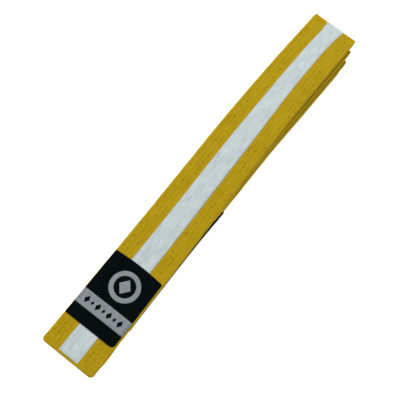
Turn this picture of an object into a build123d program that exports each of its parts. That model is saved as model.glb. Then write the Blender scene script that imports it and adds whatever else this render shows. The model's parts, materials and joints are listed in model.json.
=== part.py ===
"""Martial arts belt, folded to and fro into a flat stack of eight leaves, as separate bodies.

X is across the belt, Y is along it, Z is up. The belt rests on the plane Z = 0. Leaf 1 is on
top and starts with the labelled end; leaf 8 is at the bottom and finishes with the end that
carries the rank bar. Every fold is a hinge, so each leaf is a body of its own.
All sizes are in millimetres.
"""

import os
from collections import namedtuple
from math import atan2, degrees, hypot

from build123d import *

# ---- the belt as a strip of cloth ----
BELT_WIDTH = 40.0
COVER_WALL = 0.7  # cotton cover, each face
SIDE_WALL = 1.2  # cover where it turns over the side, and the seam in it
EDGE_RADIUS = 1.3  # how round the cover is where it turns over the side
PLY_COUNT = 2  # layers of stiff cotton inside the cover
PLY_THICKNESS = 0.8
PLY_END_INSET = 3.0  # the plies stop short of a finished end
RIBBON_WIDTH = 15.0
RIBBON_THICKNESS = 0.3
RIBBON_END_INSET = 1.8  # bare yellow cloth left at a finished end
END_CORNER_RADIUS = 2.5

# ---- quilting thread ----
THREAD_WIDTH = 0.45
THREAD_DEPTH = 0.2  # sunk flush in the cover
RIBBON_THREAD_DEPTH = 0.15  # sunk flush in the ribbon
BAND_ROW_COUNT = 3  # rows on each side band, evenly spaced
FIRST_ROW_INSET = 2.9  # from the edge of the ribbon to the first row on the band
LAST_ROW_INSET = 3.2  # from the edge of the belt to the last row on the band
RIBBON_ROW_INSET = 0.9  # from the edge of the ribbon to the row that holds it
THREAD_END_INSET = 3.2

# ---- how the strip is folded ----
LEAF_COUNT = 8
TOP_LEAF_LENGTH = 320.0
FOLD_GAP = 0.4  # clear space between two leaves
FAR_STEP = 4.0  # each fold at the far end is set back by this from the one above
NEAR_STEP = 3.0  # and each fold or end at the near end
FAR_SHIFTS = (0.0, 1.9, 3.8, 3.6)  # sideways drift of the far folds, from the top down
NEAR_SHIFTS = (0.0, -0.3, -0.5, -0.6, -0.6)  # and of the near end, its folds and the other end
HINGE_MARGIN = 0.5  # the hinge line lies this far outside the tip of the fold

# ---- woven label on the top face of leaf 1 ----
LABEL_LENGTH = 50.0
LABEL_SIDE_GAP = 1.2  # bare cloth beside the label, before it is set off the middle
LABEL_START = 21.0  # from the finished end
LABEL_THICKNESS = 0.9  # above the cover
LABEL_CORNER_RADIUS = 1.5
LABEL_STITCH_INSET = 2.0
LABEL_OFFSET = -0.3  # sewn slightly off the middle

# ---- rank bar, a sleeve around leaf 8 ----
BAR_LENGTH = 108.0
BAR_START = 28.0  # from the finished end of leaf 8
BAR_SIDE_WALL = 0.5
BAR_PINCH = 0.3  # the sewing presses the belt this much thinner under the sleeve, each face
BAR_SLOPE = 1.5  # length over which the belt thins
BAR_STITCH_INSET = 2.0

# ---- derived sizes ----
COVER_THICKNESS = 2 * COVER_WALL + PLY_COUNT * PLY_THICKNESS
PLY_WIDTH = BELT_WIDTH - 2 * SIDE_WALL
LABEL_WIDTH = BELT_WIDTH - 2 * LABEL_SIDE_GAP
HALF_COVER = COVER_THICKNESS / 2
HALF_LEAF = HALF_COVER + RIBBON_THICKNESS
LEAF_PITCH = 2 * HALF_LEAF + FOLD_GAP
HALF_PITCH = LEAF_PITCH / 2  # height from the middle of a leaf to a fold's centre line
FOLD_RADIUS = HALF_PITCH + HALF_LEAF
RIBBON_ROW = RIBBON_WIDTH / 2 - RIBBON_ROW_INSET
FIRST_ROW = RIBBON_WIDTH / 2 + FIRST_ROW_INSET
LAST_ROW = BELT_WIDTH / 2 - LAST_ROW_INSET
ROW_SPACING = (LAST_ROW - FIRST_ROW) / (BAND_ROW_COUNT - 1)
BAND_ROWS = [FIRST_ROW + index * ROW_SPACING for index in range(BAND_ROW_COUNT)]
ROW_LENGTH_ACROSS = 2 * (BAND_ROWS[-1] + THREAD_WIDTH / 2)

Leaf = namedtuple("Leaf", "number length near far bar_start")
# near and far say where the fold at that end goes: +1 up, -1 down, 0 for a finished end

part_list = {}


def fold_point(end, index):
    """Position of a fold or finished end: the near ones count from 0, the far ones too."""
    if end == "near":
        return NEAR_SHIFTS[index], NEAR_STEP * index
    return FAR_SHIFTS[index], TOP_LEAF_LENGTH - FAR_STEP * index


def leaf_line(number):
    """The near and far points of a leaf's middle line, its length and its turn about Z."""
    near = fold_point("near", number // 2)
    far = fold_point("far", (number - 1) // 2)
    run_x = far[0] - near[0]
    run_y = far[1] - near[1]
    return near, far, hypot(run_x, run_y), -degrees(atan2(run_x, run_y))


def make_leaf(number):
    """Describe one leaf: odd leaves fold down at the far end, even ones up."""
    length = leaf_line(number)[2]
    far = -1 if number % 2 else 1
    near = 1 if number % 2 else -1
    if number in (1, LEAF_COUNT):
        near = 0
    bar_start = BAR_START if number == LEAF_COUNT else None
    return Leaf(number, length, near, far, bar_start)


def place(shape, leaf):
    """Move a shape from a leaf's own frame to its place in the stack."""
    near, far, length, turn = leaf_line(leaf.number)
    height = HALF_LEAF + (LEAF_COUNT - leaf.number) * LEAF_PITCH
    return Location((near[0], near[1], height), (0, 0, turn)) * shape


def section(width, low, high, middle=0.0):
    """A rectangle across the belt, from low to high above the middle of the leaf."""
    outline = Rectangle(width, high - low)
    return Plane.XZ * Pos(middle, (low + high) / 2) * outline


def quarter_turn(face, leaf, at_far_end):
    """Turn a cross-section through the quarter of a fold that belongs to this leaf."""
    way = leaf.far if at_far_end else leaf.near
    y = leaf.length - FOLD_RADIUS if at_far_end else FOLD_RADIUS
    sense = way if at_far_end else -way
    axis = Axis((0, y, way * HALF_PITCH), (sense, 0, 0))
    return revolve(Pos(0, y, 0) * face, axis=axis, revolution_arc=90)


def straight_limits(leaf, end_inset):
    """Where a layer's straight length starts and stops."""
    start = FOLD_RADIUS if leaf.near else end_inset
    stop = leaf.length - FOLD_RADIUS if leaf.far else leaf.length - end_inset
    return start, stop


def sweep_layer(face, leaf, end_inset=0.0):
    """Run a cross-section along a leaf and into its folds."""
    start, stop = straight_limits(leaf, end_inset)
    solid = extrude(Pos(0, start, 0) * face, amount=stop - start, dir=(0, 1, 0))
    if leaf.near:
        solid = solid + quarter_turn(face, leaf, False)
    if leaf.far:
        solid = solid + quarter_turn(face, leaf, True)
    return solid


def sweep_strip(leaf, middle, width, low, high, end_inset):
    """A flat strip along a leaf, which dips under the rank bar where the belt is pinched."""
    face = section(width, low, high, middle)
    if leaf.bar_start is None:
        return sweep_layer(face, leaf, end_inset)
    start, stop = straight_limits(leaf, end_inset)
    dip = -BAR_PINCH if high > 0 else BAR_PINCH
    first = leaf.bar_start
    last = leaf.bar_start + BAR_LENGTH
    stations = (
        (start, 0.0),
        (first - BAR_SLOPE, 0.0),
        (first, dip),
        (last, dip),
        (last + BAR_SLOPE, 0.0),
        (stop, 0.0),
    )
    outline = [(y, low + drop) for y, drop in stations]
    outline += [(y, high + drop) for y, drop in reversed(stations)]
    profile = Plane.YZ * make_face(Polyline(*outline, close=True))
    solid = extrude(Pos(middle - width / 2, 0, 0) * profile, amount=width, dir=(1, 0, 0))
    return solid + quarter_turn(face, leaf, True)


def pinch_cutters(leaf):
    """The shallow steps that the rank bar presses into both faces of the cover."""
    first = leaf.bar_start
    last = leaf.bar_start + BAR_LENGTH
    cutters = []
    for side in (1, -1):
        outline = (
            (first - BAR_SLOPE, side * HALF_COVER),
            (first, side * (HALF_COVER - BAR_PINCH)),
            (last, side * (HALF_COVER - BAR_PINCH)),
            (last + BAR_SLOPE, side * HALF_COVER),
            (last + BAR_SLOPE, side * (HALF_COVER + 1)),
            (first - BAR_SLOPE, side * (HALF_COVER + 1)),
        )
        profile = Plane.YZ * make_face(Polyline(*outline, close=True))
        cutters.append(extrude(Pos(-BELT_WIDTH, 0, 0) * profile, amount=2 * BELT_WIDTH, dir=(1, 0, 0)))
    return cutters


def make_plies(leaf):
    """The stiff inner layers, one solid each."""
    plies = []
    for index in range(PLY_COUNT):
        low = (index - PLY_COUNT / 2) * PLY_THICKNESS
        face = section(PLY_WIDTH, low, low + PLY_THICKNESS)
        plies.append(sweep_layer(face, leaf, PLY_END_INSET))
    return plies


def make_threads(leaf):
    """Quilting rows on both faces, and a row across a finished end."""
    rows = {"cover": [], "ribbon": []}
    for side in (1, -1):
        outer = side * HALF_COVER
        inner = side * (HALF_COVER - THREAD_DEPTH)
        low, high = min(outer, inner), max(outer, inner)
        for distance in BAND_ROWS:
            for middle in (distance, -distance):
                strip = sweep_strip(leaf, middle, THREAD_WIDTH, low, high, THREAD_END_INSET)
                rows["cover"].append(strip)
        outer = side * HALF_LEAF
        inner = side * (HALF_LEAF - RIBBON_THREAD_DEPTH)
        low, high = min(outer, inner), max(outer, inner)
        for middle in (RIBBON_ROW, -RIBBON_ROW):
            strip = sweep_strip(leaf, middle, THREAD_WIDTH, low, high, THREAD_END_INSET)
            rows["ribbon"].append(strip)
    return rows


def make_ribbons(leaf, ribbon_rows):
    """The two centre ribbons of a leaf, upper and lower, with grooves for their stitching."""
    ribbons = []
    for side in (1, -1):
        low = min(side * HALF_COVER, side * HALF_LEAF)
        high = max(side * HALF_COVER, side * HALF_LEAF)
        ribbon = sweep_strip(leaf, 0.0, RIBBON_WIDTH, low, high, RIBBON_END_INSET)
        for row in ribbon_rows:
            ribbon = ribbon - row
        ribbons.append(ribbon)
    return ribbons


def round_finished_end(solid):
    """Round the two upright corners at the finished end of a leaf."""
    corners = solid.edges().filter_by(Axis.Z).group_by(Axis.Y)[0]
    return fillet(corners, END_CORNER_RADIUS)


def make_cover(leaf, plies, cover_rows):
    """The cotton cover: a sleeve of cloth around the plies, grooved by the quilting."""
    outline = RectangleRounded(BELT_WIDTH, COVER_THICKNESS, EDGE_RADIUS)
    cover = sweep_layer(Plane.XZ * outline, leaf)
    if not leaf.near:
        block = Box(BELT_WIDTH, 2 * END_CORNER_RADIUS, COVER_THICKNESS)
        keep = RectangleRounded(BELT_WIDTH, 6 * END_CORNER_RADIUS, END_CORNER_RADIUS)
        keep = extrude(Pos(0, 3 * END_CORNER_RADIUS, -HALF_COVER) * keep, amount=COVER_THICKNESS)
        block = Pos(0, END_CORNER_RADIUS, 0) * block
        cover = cover - (block - keep)
    for ply in plies:
        cover = cover - ply
    if leaf.bar_start is not None:
        for cutter in pinch_cutters(leaf):
            cover = cover - cutter
    for row in cover_rows:
        cover = cover - row
    return cover


def make_rank_bar(leaf, inside):
    """The black sleeve around leaf 8, and the stitching across both of its ends."""
    outline = RectangleRounded(
        BELT_WIDTH + 2 * BAR_SIDE_WALL, 2 * HALF_LEAF, EDGE_RADIUS + RIBBON_THICKNESS
    )
    face = Plane.XZ * outline
    sleeve = extrude(Pos(0, leaf.bar_start, 0) * face, amount=BAR_LENGTH, dir=(0, 1, 0))
    for solid in inside:
        sleeve = sleeve - solid
    stitches = []
    ends = (
        leaf.bar_start + BAR_STITCH_INSET,
        leaf.bar_start + BAR_LENGTH - BAR_STITCH_INSET,
    )
    for y in ends:
        for side in (1, -1):
            middle = side * (HALF_LEAF - RIBBON_THREAD_DEPTH / 2)
            row = Box(ROW_LENGTH_ACROSS, THREAD_WIDTH, RIBBON_THREAD_DEPTH)
            stitches.append(Pos(0, y, middle) * row)
    for row in stitches:
        sleeve = sleeve - row
    return sleeve, stitches


def make_label(leaf, under):
    """The woven label on leaf 1, moulded over the ribbon, and its frame of stitches."""
    top = HALF_COVER + LABEL_THICKNESS
    centre = (LABEL_OFFSET, LABEL_START + LABEL_LENGTH / 2)
    outline = RectangleRounded(LABEL_WIDTH, LABEL_LENGTH, LABEL_CORNER_RADIUS)
    label = extrude(Pos(centre[0], centre[1], HALF_COVER) * outline, amount=LABEL_THICKNESS)
    for solid in under:
        label = label - solid
    inner_width = LABEL_WIDTH - 2 * LABEL_STITCH_INSET
    inner_length = LABEL_LENGTH - 2 * LABEL_STITCH_INSET
    ring = Rectangle(inner_width + THREAD_WIDTH, inner_length + THREAD_WIDTH)
    ring = ring - Rectangle(inner_width - THREAD_WIDTH, inner_length - THREAD_WIDTH)
    frame = Pos(centre[0], centre[1], top - THREAD_DEPTH) * ring
    stitches = extrude(frame, amount=THREAD_DEPTH)
    return label - stitches, [stitches]


def build_all():
    """Make every piece and put it in its place."""
    shapes = {}
    for number in range(1, LEAF_COUNT + 1):
        leaf = make_leaf(number)
        name = f"leaf_{number}"
        plies = make_plies(leaf)
        rows = make_threads(leaf)
        ribbons = make_ribbons(leaf, rows["ribbon"])
        if not leaf.near:
            across = []
            for side in (1, -1):
                for sign in (1, -1):
                    half = ROW_LENGTH_ACROSS / 2 - RIBBON_WIDTH / 2
                    height = side * (HALF_COVER - THREAD_DEPTH / 2)
                    row = Box(half, THREAD_WIDTH, THREAD_DEPTH)
                    x = sign * (RIBBON_WIDTH / 2 + half / 2)
                    across.append(Pos(x, THREAD_END_INSET - THREAD_WIDTH / 2, height) * row)
            rows["cover"] += across
        cover = make_cover(leaf, plies, rows["cover"])
        shapes[f"{name}_cover"] = (leaf, [cover])
        shapes[f"{name}_core_plies"] = (leaf, plies)
        shapes[f"{name}_ribbon_upper"] = (leaf, [ribbons[0]])
        shapes[f"{name}_ribbon_lower"] = (leaf, [ribbons[1]])
        shapes[f"{name}_quilting_thread"] = (leaf, rows["cover"] + rows["ribbon"])
        if number == 1:
            label, stitches = make_label(leaf, [ribbons[0]] + rows["ribbon"])
            shapes["label_patch"] = (leaf, [label])
            shapes["label_stitching"] = (leaf, stitches)
        if number == LEAF_COUNT:
            inside = [cover] + plies + ribbons + rows["cover"] + rows["ribbon"]
            sleeve, stitches = make_rank_bar(leaf, inside)
            shapes["rank_bar_sleeve"] = (leaf, [sleeve])
            shapes["rank_bar_stitching"] = (leaf, stitches)
    placed = {}
    for name, (leaf, pieces) in shapes.items():
        solids = []
        for piece in pieces:
            solids += place(piece, leaf).solids()
        placed[name] = Compound(children=solids)
    return placed


def main():
    """Write one file for each node and print where the hinges are."""
    os.makedirs("parts", exist_ok=True)
    placed = build_all()
    box = Compound(children=[Compound(children=c.solids()) for c in placed.values()]).bounding_box()
    middle_x = (box.min.X + box.max.X) / 2
    middle_y = (box.min.Y + box.max.Y) / 2
    for name, shape in placed.items():
        export_step(Pos(-middle_x, -middle_y, 0) * shape, f"parts/{name}.step")
    print("middle", round(middle_x, 4), round(middle_y, 4), "size", box.size)
    for upper in range(1, LEAF_COUNT):
        lower = upper + 1
        at_far = upper % 2 == 1
        end = "far" if at_far else "near"
        index = (upper - 1) // 2 if at_far else upper // 2
        point = fold_point(end, index)
        turn = (leaf_line(upper)[3] + leaf_line(lower)[3]) / 2
        outward = 1 if at_far else -1
        direction = Vector(0, 1, 0).rotate(Axis.Z, turn)
        x = point[0] + outward * HINGE_MARGIN * direction.X - middle_x
        y = point[1] + outward * HINGE_MARGIN * direction.Y - middle_y
        z = (LEAF_COUNT - upper) * LEAF_PITCH - FOLD_GAP / 2
        print("hinge", upper, lower, end, round(x, 4), round(y, 4), round(z, 4), "turn", round(turn, 5))


if __name__ == "__main__":
    main()
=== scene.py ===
"""A quilted martial arts belt folded to and fro into eight leaves, dressed for rendering.

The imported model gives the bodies, the hinges and the size of every piece. This script makes
the cloth that shows: the cover and its quilting, the centre ribbons, the folds, the woven
label and the rank bar, and the studio around them. Lengths are in metres.
"""

import json
import logging
import math
from collections.abc import Callable
from dataclasses import dataclass, field
from enum import Enum

import bpy
import numpy as np
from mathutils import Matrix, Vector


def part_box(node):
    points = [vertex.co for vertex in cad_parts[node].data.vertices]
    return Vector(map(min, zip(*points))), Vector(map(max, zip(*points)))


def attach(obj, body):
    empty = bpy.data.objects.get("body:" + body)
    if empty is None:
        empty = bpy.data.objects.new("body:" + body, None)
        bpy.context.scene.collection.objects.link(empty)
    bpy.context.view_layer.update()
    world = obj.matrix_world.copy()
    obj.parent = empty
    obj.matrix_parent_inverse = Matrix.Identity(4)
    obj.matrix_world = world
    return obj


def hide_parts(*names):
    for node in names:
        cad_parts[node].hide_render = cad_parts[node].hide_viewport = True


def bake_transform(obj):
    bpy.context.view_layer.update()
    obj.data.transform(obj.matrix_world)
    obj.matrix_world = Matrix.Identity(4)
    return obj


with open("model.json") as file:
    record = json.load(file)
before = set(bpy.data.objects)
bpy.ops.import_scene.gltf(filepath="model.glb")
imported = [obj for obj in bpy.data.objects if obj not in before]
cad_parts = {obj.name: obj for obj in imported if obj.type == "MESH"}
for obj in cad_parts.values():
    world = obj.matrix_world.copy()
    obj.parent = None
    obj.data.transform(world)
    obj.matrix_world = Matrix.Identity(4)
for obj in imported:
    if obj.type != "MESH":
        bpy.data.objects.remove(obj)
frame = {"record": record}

LOG = logging.getLogger("belt")
MM = 0.001
CLOTH = "cloth"  # the attribute that holds across, along and height in the cloth, in metres
LAST_LEAF = 8
EDGE_STEPS = 5  # points in a quarter of the cover's round side edge

# How soft_noise mixes its waves: how many, how their lengths spread, and their usual sum.
WAVES = 7
PITCH_SPREAD = (0.6, 1.7)
WAVE_SUM = 3.2

# How the leaves lie sideways. The two top leaves bow and swing; the lower ones bow, with a
# waist, and some of them give way a little more over a stretch near their near end.
TOP_LEAVES = 2
TOP_BOW, TOP_SWING = -1.6 * MM, 0.84 * MM
LOW_BOW, WAIST = -1.9 * MM, -0.7 * MM
WAIST_AT, WAIST_REACH = 0.68, 0.12
HELD_RISE, HELD_UNTIL, HELD_FALL = 0.12, 0.33, 0.2
GIVE = {5: -1.9 * MM, 6: -2.0 * MM, 7: -2.1 * MM, 8: -1.0 * MM}

# How the leaves stand off their flat place.
CALM_REACH = 60 * MM
TOP_RISE, TOP_WAVE, TOP_EDGE, TOP_EDGE_LEAST = 0.25 * MM, 0.18 * MM, 0.22 * MM, -0.15 * MM
LOW_WAVE = 0.09 * MM

Array = np.ndarray
Pair = tuple[Array, Array]
Point = tuple[float, float, float]
Path = Callable[[Array, Array, Array], Pair]
Material = bpy.types.Material
Piece = bpy.types.Object
Tree = bpy.types.NodeTree


class Face(Enum):
    """The two faces of a leaf."""

    UPPER = 1
    LOWER = -1


class End(Enum):
    """The two ends of a leaf, by where they lie in the stack."""

    NEAR = "near"
    FAR = "far"


# ---- sizes of the cloth ----


@dataclass(frozen=True)
class Strip:
    """The belt as a strip of quilted cloth."""

    half_width: float = 19.6 * MM
    half_cover: float = 1.5 * MM
    ribbon_half_width: float = 7.5 * MM
    ribbon_thickness: float = 0.3 * MM
    half_pitch: float = 2.0 * MM
    hinge_margin: float = 0.5 * MM
    end_corner: float = 2.6 * MM
    ribbon_end_inset: float = 1.8 * MM
    band_rows: tuple[float, ...] = (10.4 * MM, 13.6 * MM, 16.8 * MM)
    ribbon_row: float = 6.6 * MM
    stitch_period: float = 3.2 * MM
    quilt_dip: float = 0.17 * MM
    fold_lap: float = 9.0 * MM
    split_clear: float = 0.12 * MM
    joint_row: float = 0.15 * MM
    far_fullness: float = 0.5 * MM
    corner_ear: float = 0.35 * MM
    middle_hollow: float = 0.25 * MM
    draw_in_left: float = 0.04
    draw_in_right: float = 0.006
    clear_growth: float = 0.1
    turn_limit: float = math.radians(88)

    @property
    def nose_radius(self) -> float:
        """Outer radius of a fold, over the ribbon."""
        return self.half_pitch + self.half_cover + self.ribbon_thickness

    @property
    def ribbon_rows(self) -> list[float]:
        """The rows along a ribbon's two edges."""
        return [-self.ribbon_row, self.ribbon_row]

    @property
    def rows(self) -> list[float]:
        """Every row on the side bands, both sides."""
        return [side * row for row in self.band_rows for side in (-1, 1)]


STRIP = Strip()


def soft_noise(across: Array, along: Array, seed: int, size: float) -> Array:
    """Smooth unevenness from a few crossed waves.

    Args:
        across: Position across the belt, in metres.
        along: Position along the belt, in metres.
        seed: Which of the repeatable patterns to use.
        size: Typical length of a wave, in metres.

    Returns:
        Values from about -1 to 1.
    """
    rng = np.random.default_rng(seed)
    total = np.zeros(np.broadcast(across, along).shape)
    for _ in range(WAVES):
        angle = rng.uniform(0, math.tau)
        pitch = size * rng.uniform(*PITCH_SPREAD)
        phase = rng.uniform(0, math.tau)
        way = math.cos(angle) * across + math.sin(angle) * along
        total = total + np.sin(math.tau * way / pitch + phase)
    return total / WAVE_SUM


def smooth(value: Array) -> Array:
    """A soft step from 0 to 1 as value goes from 0 to 1."""
    t = np.clip(value, 0.0, 1.0)
    return t * t * (3 - 2 * t)


def between(s: Array, start: float, rise: float, stop: float, fall: float) -> Array:
    """1 from start to stop with a soft rise and fall, which are all in mm."""
    return smooth((s - start * MM) / (rise * MM)) * (1 - smooth((s - stop * MM) / (fall * MM)))


# ---- where the leaves lie ----


@dataclass
class LeafLine:
    """The middle line of one leaf, from its near end to its far end.

    Distances along it start at its near end, and heights are from its own middle.
    """

    number: int
    near: Array
    far: Array
    height: float
    near_fold: int
    far_fold: int
    belt_start: float = 0.0

    @property
    def length(self) -> float:
        """Distance between the tips of the two ends."""
        return float(np.linalg.norm(self.far - self.near))

    @property
    def along(self) -> Array:
        """Unit vector from the near end to the far end."""
        return (self.far - self.near) / self.length

    @property
    def right(self) -> Array:
        """Unit vector across the leaf."""
        return np.array([self.along[1], -self.along[0]])

    @property
    def runs_away(self) -> bool:
        """True if the belt's own length grows from the near end to the far one."""
        return self.number % 2 == 1

    def flat_span(self) -> tuple[float, float]:
        """Where the flat length of the leaf starts and stops, between its folds."""
        start = STRIP.nose_radius if self.near_fold else 0.0
        stop = self.length - (STRIP.nose_radius if self.far_fold else 0.0)
        return start, stop

    def belt_length(self, y: Array) -> Array:
        """Position along the whole belt at a distance y from the near end."""
        start, stop = self.flat_span()
        return self.belt_start + ((y - start) if self.runs_away else (stop - y))

    def snapped(self, y: float) -> float:
        """The place nearest to y where a stitch starts or has its middle."""
        grid = STRIP.stitch_period / 2
        s = float(self.belt_length(np.array(y)))
        step = round(s / grid) * grid - s
        return y + (step if self.runs_away else -step)

    def cuts(self) -> tuple[float, float]:
        """Where the leaf's own piece starts and stops, between the pieces of its folds."""
        start, stop = self.flat_span()
        low = self.snapped(start + STRIP.fold_lap) if self.near_fold else 0.0
        high = self.snapped(stop - STRIP.fold_lap) if self.far_fold else self.length
        return low, high

    def drift(self, y: Array) -> Array:
        """How far the leaf bows sideways, as a laid-down belt does."""
        start, stop = self.flat_span()
        part = np.clip((y - start) / (stop - start), 0, 1)
        bow = np.sin(math.pi * part)
        if self.number <= TOP_LEAVES:
            return TOP_BOW * bow + TOP_SWING * np.sin(math.tau * part)
        held = smooth(part / HELD_RISE) * (1 - smooth((part - HELD_UNTIL) / HELD_FALL))
        waist = np.exp(-(((part - WAIST_AT) / WAIST_REACH) ** 2))
        return LOW_BOW * bow + WAIST * waist * bow + GIVE.get(self.number, 0.0) * held

    def lift(self, y: Array, u: Array) -> Array:
        """How far the leaf stands off its flat place."""
        start, stop = self.flat_span()
        calm = smooth(np.minimum(y - start, stop - y) / CALM_REACH)
        if self.number == 1:
            wave = TOP_RISE + TOP_WAVE * soft_noise(u * 0.6, y, 11, 90 * MM)
            edge = TOP_EDGE * soft_noise(u * 0.2, y, 12, 60 * MM) * (u / STRIP.half_width) ** 2
            return calm * (wave + np.maximum(edge, TOP_EDGE_LEAST))
        return calm * LOW_WAVE * soft_noise(u, y, 20 + self.number, 70 * MM)

    def place(self, y: Array, u: Array, n: Array) -> Array:
        """Points of the cloth on the flat part of the leaf.

        Args:
            y: Distance from the near end.
            u: Distance across, to the right.
            n: Height above the middle of the leaf.

        Returns:
            An array of points, one row each.
        """
        x = u + self.drift(y)
        plan = self.near + np.multiply.outer(y, self.along) + np.multiply.outer(x, self.right)
        z = self.height + n + self.lift(y, u)
        return np.concatenate([plan, z[..., None]], axis=-1)

    def place_turn(self, end: End, angle: Array, u: Array, n: Array) -> Array:
        """Points of the cloth in the quarter turn that belongs to this leaf.

        Args:
            end: Which end of the leaf folds.
            angle: 0 where the flat part stops, pi/2 at the tip of the fold.
            u: Distance across, to the right.
            n: Height above the middle of the leaf.

        Returns:
            An array of points, one row each.
        """
        way = self.far_fold if end is End.FAR else self.near_fold
        outward = 1.0 if end is End.FAR else -1.0
        start, stop = self.flat_span()
        base = stop if end is End.FAR else start
        radius = STRIP.half_pitch - way * n
        corner = np.abs(u / STRIP.half_width)
        tip = np.sin(angle)
        fullness = STRIP.far_fullness if end is End.FAR else 0.0
        ear = fullness + STRIP.corner_ear * corner**3 - STRIP.middle_hollow * (1 - corner**2)
        ear = ear * tip**2
        draw_in = np.where(u < 0, STRIP.draw_in_left, STRIP.draw_in_right)
        narrow = 1.0 - draw_in * corner**4 * tip**2
        y = base + outward * (radius * tip + ear * smooth(radius / STRIP.half_pitch))
        clear = STRIP.split_clear + STRIP.clear_growth * np.maximum(radius, 0)
        off = np.maximum(radius * np.cos(angle), clear)
        z = way * (STRIP.half_pitch - off)
        x = u * narrow + self.drift(np.full_like(y, base))
        plan = self.near + np.multiply.outer(y, self.along) + np.multiply.outer(x, self.right)
        return np.concatenate([plan, (self.height + z)[..., None]], axis=-1)


class FoldedBelt:
    """The eight leaf lines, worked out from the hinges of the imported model."""

    def __init__(self, record: dict) -> None:
        """Read the hinges.

        Args:
            record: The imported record, with its joints.
        """
        joints = record["behaviour"]["joints"]
        self.hinges: list[dict] = sorted(joints, key=lambda j: -j["pos_m"][2])
        self.leaves: list[LeafLine] = self._lines()

    def fold_point(self, index: int) -> Array:
        """The middle of the tip of a fold, counted from the top down from 0."""
        hinge = self.hinges[index]
        axis = np.array(hinge["axis"][:2])
        outward = np.array([axis[1], -axis[0]])
        return np.array(hinge["pos_m"][:2]) - STRIP.hinge_margin * outward

    def _lines(self) -> list[LeafLine]:
        """Make one line for each leaf, with its place along the whole belt."""
        count = len(self.hinges) + 1
        low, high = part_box("leaf_1_cover")
        first_end = np.array([(low[0] + high[0]) / 2, low[1]])
        last_end = first_end + np.array([-0.6 * MM, 12.0 * MM])
        lines = []
        belt_start = 0.0
        for number in range(1, count + 1):
            above = None if number == 1 else self.fold_point(number - 2)
            below = None if number == count else self.fold_point(number - 1)
            odd = number % 2 == 1
            near = (first_end if above is None else above) if odd else below
            far = below if odd else above
            if near is None:
                near = last_end
            if number < count:
                height = self.hinges[number - 1]["pos_m"][2] + STRIP.half_pitch
            else:
                height = self.hinges[-1]["pos_m"][2] - STRIP.half_pitch
            line = LeafLine(
                number,
                np.array(near),
                np.array(far),
                height,
                near_fold=0 if number in (1, count) else (1 if odd else -1),
                far_fold=-1 if odd else 1,
                belt_start=belt_start,
            )
            start, stop = line.flat_span()
            belt_start += stop - start + math.pi * STRIP.half_pitch
            lines.append(line)
        return lines


# ---- mesh making ----


@dataclass
class ClothMesh:
    """Collects points, faces and cloth coordinates, then makes one object."""

    name: str
    points: list[Array] = field(default_factory=list)
    cloth: list[Array] = field(default_factory=list)
    faces: list[tuple[int, ...]] = field(default_factory=list)
    flat_faces: list[int] = field(default_factory=list)
    count: int = 0

    def add_points(self, points: Array, cloth: Array) -> int:
        """Add points with their cloth coordinates; returns the index of the first."""
        first = self.count
        self.points.append(points.reshape(-1, 3))
        self.cloth.append(cloth.reshape(-1, 3))
        self.count += self.points[-1].shape[0]
        return first

    def add_tube(self, points: Array, cloth: Array) -> None:
        """Add closed loops joined one to the next, with a cap at both ends.

        Args:
            points: Shaped (loops, points in a loop, 3).
            cloth: Cloth coordinates of the same shape.
        """
        loops, per = points.shape[:2]
        first = self.add_points(points, cloth)
        index = first + np.arange(loops * per).reshape(loops, per)
        turned = np.roll(index, -1, axis=1)
        quads = np.stack([index[:-1], turned[:-1], turned[1:], index[1:]], axis=-1)
        self.faces += [tuple(q) for q in quads.reshape(-1, 4).tolist()]
        half = per // 2
        for loop, opens in ((index[0].tolist(), True), (index[-1].tolist(), False)):
            cap = [(loop[0], loop[1], loop[-1]), (loop[half - 1], loop[half], loop[half + 1])]
            for k in range(1, half - 1):
                cap.append((loop[k], loop[k + 1], loop[-k - 1], loop[-k]))
            self.flat_faces += range(len(self.faces), len(self.faces) + len(cap))
            self.faces += [f[::-1] if opens else f for f in cap]

    def add_sleeve(self, outer: Array, inner: Array, cloth: Array) -> None:
        """Add a tube with a wall, open at both ends.

        Args:
            outer: Outer loops, shaped (loops, points in a loop, 3).
            inner: Inner loops of the same shape.
            cloth: Cloth coordinates of the same shape.
        """
        loops, per = outer.shape[:2]
        rings = []
        for points in (outer, inner):
            first = self.add_points(points, cloth)
            rings.append(first + np.arange(loops * per).reshape(loops, per))
        out, into = rings
        for ring, flip in ((out, False), (into, True)):
            turned = np.roll(ring, -1, axis=1)
            quads = np.stack([ring[:-1], turned[:-1], turned[1:], ring[1:]], axis=-1)
            quads = quads[..., ::-1] if flip else quads
            self.faces += [tuple(q) for q in quads.reshape(-1, 4).tolist()]
        for row, opens in ((0, True), (-1, False)):
            a, b = out[row], into[row]
            rim = np.stack([a, np.roll(a, -1), np.roll(b, -1), b], axis=-1)
            rim = rim[:, ::-1] if opens else rim
            self.faces += [tuple(q) for q in rim.tolist()]

    def build(self, material: Material, way: int = 1) -> Piece:
        """Make the object.

        Args:
            material: The finish of the whole piece.
            way: -1 turns every face over.

        Returns:
            The new object, linked to the scene.
        """
        points = np.concatenate(self.points)
        faces = [f[::-1] for f in self.faces] if way < 0 else self.faces
        mesh = bpy.data.meshes.new(self.name)
        mesh.from_pydata(points.tolist(), [], faces)
        held = mesh.attributes.new(CLOTH, "FLOAT_VECTOR", "POINT")
        held.data.foreach_set("vector", np.concatenate(self.cloth).astype(np.float32).ravel())
        mesh.shade_smooth()
        for index in self.flat_faces:
            mesh.polygons[index].use_smooth = False
        mesh.materials.append(material)
        made = bpy.data.objects.new(self.name, mesh)
        bpy.context.scene.collection.objects.link(made)
        return made


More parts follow.
